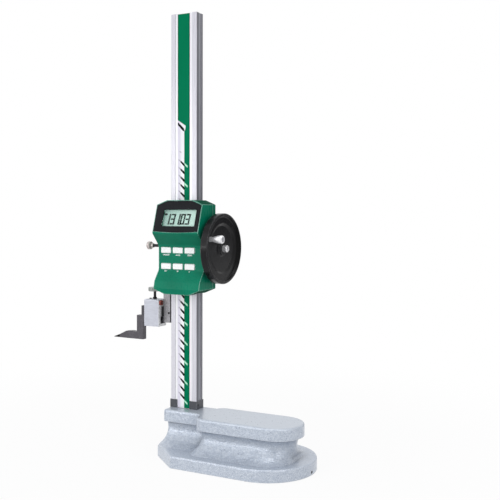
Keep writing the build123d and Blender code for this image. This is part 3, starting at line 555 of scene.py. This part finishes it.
# ---------------------------------------------------------------- mesh helpers
def new_object(name, mesh, material):
    """Object in the scene around a mesh, with one material."""
    mesh.materials.clear()
    mesh.materials.append(material)
    obj = bpy.data.objects.new(name, mesh)
    bpy.context.scene.collection.objects.link(obj)
    return obj


def mesh_of(name, bm):
    mesh = bpy.data.meshes.new(name)
    bm.to_mesh(mesh)
    bm.free()
    return mesh


def on_plane(origin, x_dir, normal):
    """Matrix that takes (x, y, 0) to a plane, in metres; origin in mm."""
    x = Vector(x_dir).normalized()
    n = Vector(normal).normalized()
    m = Matrix((x, n.cross(x), n)).transposed().to_4x4()
    m.translation = Vector(origin) * MM
    return m


def relief(name, outlines, thickness, matrix, material, body):
    """Raised print or marks: closed outlines in mm, drawn on a plane and given a thickness."""
    bm = bmesh.new()
    for points in outlines:
        face = bm.faces.new([bm.verts.new((x * MM, y * MM, 0)) for x, y in points])
        face.normal_update()
        if face.normal.z < 0:
            face.normal_flip()
        grown = bmesh.ops.extrude_face_region(bm, geom=[face])
        for v in grown["geom"]:
            if isinstance(v, bmesh.types.BMVert):
                v.co.z += thickness * MM
    bmesh.ops.recalc_face_normals(bm, faces=bm.faces)
    bmesh.ops.triangulate(bm, faces=[f for f in bm.faces if len(f.verts) > 4])
    mesh = mesh_of(name, bm)
    mesh.transform(matrix)
    obj = new_object(name, mesh, mats[material])
    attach(obj, body)


def rect(x0, y0, x1, y1):
    return [(x0, y0), (x1, y0), (x1, y1), (x0, y1)]


def slanted(x0, x1, z_mid, x_mid, thick, slope, rise=0.0):
    """Parallelogram running down to the right at the given slope; thick is measured upright."""
    za = z_mid - (x0 - x_mid) * slope + rise
    zb = z_mid - (x1 - x_mid) * slope + rise
    return [(x0, za), (x0, za - thick), (x1, zb - thick), (x1, zb)]


# ---------------------------------------------------------------- printed scale, in mm
film_low, film_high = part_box("scale_film")
scale_face = on_plane((0, film_low.y / MM, 0), (1, 0, 0), (0, -1, 0))
PRINT_TOP = film_high.z / MM - 0.1
PRINT_FOOT = film_low.z / MM + 0.1
FIRST_MARK = film_low.z / MM + 6        # no mark is printed below this height
PRINT_EDGE = 8.93                       # half width of the print
BAND_LEFT = 0.9                         # left edge of the green band
stroke_z = [z for z in (370.7 - 10 * k for k in range(32)) if z > FIRST_MARK]
inch_z = [z for z in (191.5 + 25.4 * k for k in range(-5, 8)) if z > FIRST_MARK]

green = [(-PRINT_EDGE, PRINT_TOP), (-PRINT_EDGE, 427.4), (-8.3, 427.1), (3.0, 419.8), (2.6, 415.6),
         (BAND_LEFT, 413.4)]
for z in stroke_z:                      # a small notch beside each stroke
    green += [(BAND_LEFT, z + 1.2), (BAND_LEFT + 0.9, z - 1.8), (BAND_LEFT, z - 2.4)]
green += [(BAND_LEFT, PRINT_FOOT), (PRINT_EDGE, PRINT_FOOT), (PRINT_EDGE, PRINT_TOP)]
relief("scale_print_green", [green], 0.02, scale_face, "ink_green", "base")
margin = [rect(PRINT_EDGE - 0.9, PRINT_FOOT, PRINT_EDGE, PRINT_TOP),
          [(-PRINT_EDGE, 427.3), (-8.0, 426.9), (-8.0, PRINT_TOP), (-PRINT_EDGE, PRINT_TOP)]]
relief("scale_print_margins", margin, 0.028, scale_face, "ink_edge", "base")
STROKE = [(-4.3, 4.7), (-5.0, 2.7), (0.1, -2.6), (1.3, -2.5), (2.0, -0.8), (0.9, 0.7)]
black = [[(x, z + dz) for x, dz in STROKE] for z in stroke_z]
black.append([(-8.4, 424.8), (-8.9, 422.9), (-8.4, 420.8), (-0.6, 412.8), (0.8, 413.2),
              (0.7, 416.2)])
relief("scale_print_strokes", black, 0.035, scale_face, "ink_black", "base")
grey = [slanted(-7.4, -4.8, z, -1.1, thick=1.2, slope=0.9, rise=1.1) for z in stroke_z]
grey.append(slanted(-6.2, -3.6, 387.0, -4.9, thick=0.9, slope=0.5))
relief("scale_print_fine", grey, 0.03, scale_face, "ink_grey", "base")
mint = [slanted(BAND_LEFT + 0.3, 5.9, z, 3.4, thick=2.7, slope=0.8, rise=1.4) for z in inch_z]
relief("scale_print_inches", mint, 0.035, scale_face, "ink_mint", "base")

# ---------------------------------------------------------------- display, in mm
face_top = Vector((0, -16.3, 324.6))    # top and foot of the sloping display face
face_low = Vector((0, -29.3, 282.5))
up = (face_top - face_low).normalized()
out = Vector((0, -up.z, up.y))
LCD_DEPTH = 2.2                         # from the display face down to the LCD
lcd_face = on_plane((face_top + face_low) / 2 - out * LCD_DEPTH, (1, 0, 0), out)

SEGMENTS = {"0": "abcdef", "1": "bc", "3": "abcdg"}
DIGIT_W, DIGIT_H, DIGIT_T = 6.8, 14.2, 2.3      # width, height, stroke
FIRST_X, PITCH, BASE_Y = -18.1, 7.4, -9.9
SLANT = 0.10
SEGMENT_GAP = 0.12


def digit(char, x, y):
    """Leaning seven-segment figure, from its lower left corner."""
    w, h, t, gap = DIGIT_W, DIGIT_H, DIGIT_T, SEGMENT_GAP
    half = y + h / 2
    thin = 0.85 * t
    start = x + t + gap if "f" in SEGMENTS[char] else x + 0.4
    end = x + w - t - gap
    spans = {
        "a": (start, y + h - thin, end, y + h),
        "g": (start, half - thin / 2, end, half + thin / 2),
        "d": (start, y, end, y + thin),
        "f": (x, half + gap, x + t, y + h),
        "e": (x, y, x + t, half - gap),
        "b": (x + w - t, half + gap, x + w, y + h),
        "c": (x + w - t, y, x + w, half - gap),
    }
    return [[(px + py * SLANT, py) for px, py in rect(*spans[name])] for name in SEGMENTS[char]]


marks = []
for i, char in enumerate("13103"):
    marks += digit(char, FIRST_X + PITCH * i, BASE_Y)
POINT_X = 2.6
marks.append(rect(POINT_X, BASE_Y - 0.8, POINT_X + 1.1, BASE_Y + 0.4))
marks.append([(-21.6, 2.4), (-16.8, 2.4), (-16.6, 4.9), (-21.4, 4.9)])      # minus sign
relief("lcd_digits", marks, 0.05, lcd_face, "segment", "carriage")

# ---------------------------------------------------------------- key labels
shell = nodes["front_housing"].data
skin = BVHTree.FromPolygons([v.co for v in shell.vertices], [p.vertices for p in shell.polygons])
LABELS = {"top": ("ON/OFF", "mm/in", "ZERO"), "bottom": ("SET", "+", "-")}
DROP = {"top": 1.7 * MM, "bottom": 1.5 * MM}    # from the key's lower edge to the label's middle


def label(name, text, x, z):
    """Printed word or sign that lies on the housing under its key."""
    size, swell = (2.7, 0.09) if len(text) > 1 else (4.6, 0.22)
    spot, normal, _, _ = skin.ray_cast(Vector((x, -0.2, z)), Vector((0, 1, 0)))
    font = bpy.data.curves.new(name, "FONT")
    font.body = text
    font.size = size * MM
    font.align_x = "CENTER"
    font.align_y = "CENTER"
    font.extrude = 0.06 * MM
    font.offset = swell * MM
    draft = bpy.data.objects.new(name, font)
    mesh = bpy.data.meshes.new_from_object(draft)
    bpy.data.objects.remove(draft)
    mesh.transform(on_plane(spot / MM, (1, 0, 0), normal))
    obj = new_object(name, mesh, mats["ink_white"])
    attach(obj, "carriage")


for row in ROWS:
    for side, text in zip(SIDES, LABELS[row]):
        low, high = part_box(f"button_{row}_{side}")
        label(f"label_{row}_{side}", text, (low.x + high.x) / 2, low.z - DROP[row])


# ---------------------------------------------------------------- floor
def floor():
    """Pale floor, white to the camera and in reflections, with the part's shadow near it."""
    bm = bmesh.new()
    bmesh.ops.create_grid(bm, x_segments=8, y_segments=8, size=4.0)
    mat = bpy.data.materials.new("floor")
    mat.use_nodes = True
    net = Nodes(mat.node_tree)
    lit = net.add("ShaderNodeBsdfDiffuse")
    lit.inputs["Color"].default_value = (0.8, 0.8, 0.8, 1)
    white = net.add("ShaderNodeEmission")
    white.inputs["Color"].default_value = WHITE
    length = net.add("ShaderNodeVectorMath", operation="LENGTH")
    net.link(net.add("ShaderNodeTexCoord").outputs["Object"], length.inputs[0])
    share = net.fade(length.outputs["Value"], 0.9, 1.0, low=0.2, high=0.7)
    path = net.add("ShaderNodeLightPath").outputs
    seen = path["Is Camera Ray"]
    for kind in ("Is Glossy Ray", "Is Transmission Ray"):
        seen = net.either(seen, path[kind])
    join = net.add("ShaderNodeMixShader")
    ends = (net.times(seen, share), lit.outputs[0], white.outputs[0])
    for output, socket in zip(ends, join.inputs):
        net.link(output, socket)
    net.link(join.outputs[0], net.add("ShaderNodeOutputMaterial").inputs[0])
    obj = new_object("floor", mesh_of("floor", bm), mat)
    obj.location.z = -0.2 * MM


floor()

# ---------------------------------------------------------------- world and lamps
scene = bpy.context.scene
world = bpy.data.worlds.new("studio")
scene.world = world
world.use_nodes = True
sky = Nodes(world.node_tree)
coord = sky.add("ShaderNodeTexCoord").outputs["Generated"]
height = sky.parts(coord)[Z]
path = sky.add("ShaderNodeLightPath").outputs
# a dark panel behind the part and low down, that only glossy rays see
behind = sky.fade(sky.dot(coord, (0.50, 0.866, 0.0)), 0.0, 1.0, low=0.55, high=0.9)
panel = sky.times(behind, sky.fade(height, 1.0, 0.0, low=0.05, high=0.2))
gloss = sky.mix(panel, WHITE, (0.1, 0.1, 0.105, 1))
plain = sky.mix(sky.fade(height, 0.0, 1.0, low=0.0, high=0.9), (0.44, 0.44, 0.45, 1),
                (0.78, 0.78, 0.79, 1))
light = sky.mix(path["Is Glossy Ray"], plain, gloss)
light = sky.mix(sky.either(path["Is Camera Ray"], path["Is Transmission Ray"]), light, WHITE)
background = sky.add("ShaderNodeBackground")
sky.link(light, background.inputs["Color"])
sky.link(background.outputs[0], sky.add("ShaderNodeOutputWorld").inputs[0])


def softbox(name, at, aim, size, watts):
    """Rectangular lamp, in metres, turned to a point."""
    lamp = bpy.data.lights.new(name, "AREA")
    lamp.shape = "RECTANGLE"
    lamp.size, lamp.size_y = size
    lamp.energy = watts
    obj = bpy.data.objects.new(name, lamp)
    scene.collection.objects.link(obj)
    obj.location = at
    obj.rotation_euler = (Vector(aim) - Vector(at)).to_track_quat("-Z", "Y").to_euler()
    obj.visible_camera = False


softbox("key", at=(-0.85, -1.7, 0.95), aim=(0.03, 0.0, 0.2), size=(2.1, 1.8), watts=9.0)
softbox("low", at=(-0.87, -1.65, 0.46), aim=(0.08, 0.0, 0.05), size=(1.5, 0.08), watts=4.2)
softbox("strip", at=(1.6, -0.8, 0.8), aim=(0.03, 0.0, 0.25), size=(0.18, 1.1), watts=4.5)
softbox("top", at=(0.05, -0.3, 1.85), aim=(0.05, 0.0, 0.1), size=(1.2, 0.9), watts=7.0)

# ---------------------------------------------------------------- camera
CAMERA_MM = (555.383, -890.798, 310.768)
YAW, PITCH_DOWN, ROLL = 0.4797, 0.0172, 0.0020      # radians
FOCAL_PX, PHOTO_PX, SENSOR_MM = 809.51, 500, 36.0

level_ahead = Vector((-math.sin(YAW), math.cos(YAW), 0))
level_right = Vector((math.cos(YAW), math.sin(YAW), 0))
upright = Vector((0, 0, 1))
ahead = level_ahead * math.cos(PITCH_DOWN) - upright * math.sin(PITCH_DOWN)
above = upright * math.cos(PITCH_DOWN) + level_ahead * math.sin(PITCH_DOWN)
cam_right = level_right * math.cos(ROLL) + above * math.sin(ROLL)
cam_up = above * math.cos(ROLL) - cam_right * math.sin(ROLL)
cam = bpy.data.cameras.new("camera")
cam.sensor_width = SENSOR_MM
cam.sensor_fit = "HORIZONTAL"
cam.lens = FOCAL_PX / PHOTO_PX * SENSOR_MM
cam.shift_y = -0.05
cam.clip_start = 0.01
cam_obj = bpy.data.objects.new("camera", cam)
scene.collection.objects.link(cam_obj)
turn = Matrix((cam_right, cam_up, -ahead)).transposed().to_4x4()
turn.translation = Vector(CAMERA_MM) * MM
cam_obj.matrix_world = turn
scene.camera = cam_obj
scene.view_settings.view_transform = "Standard"
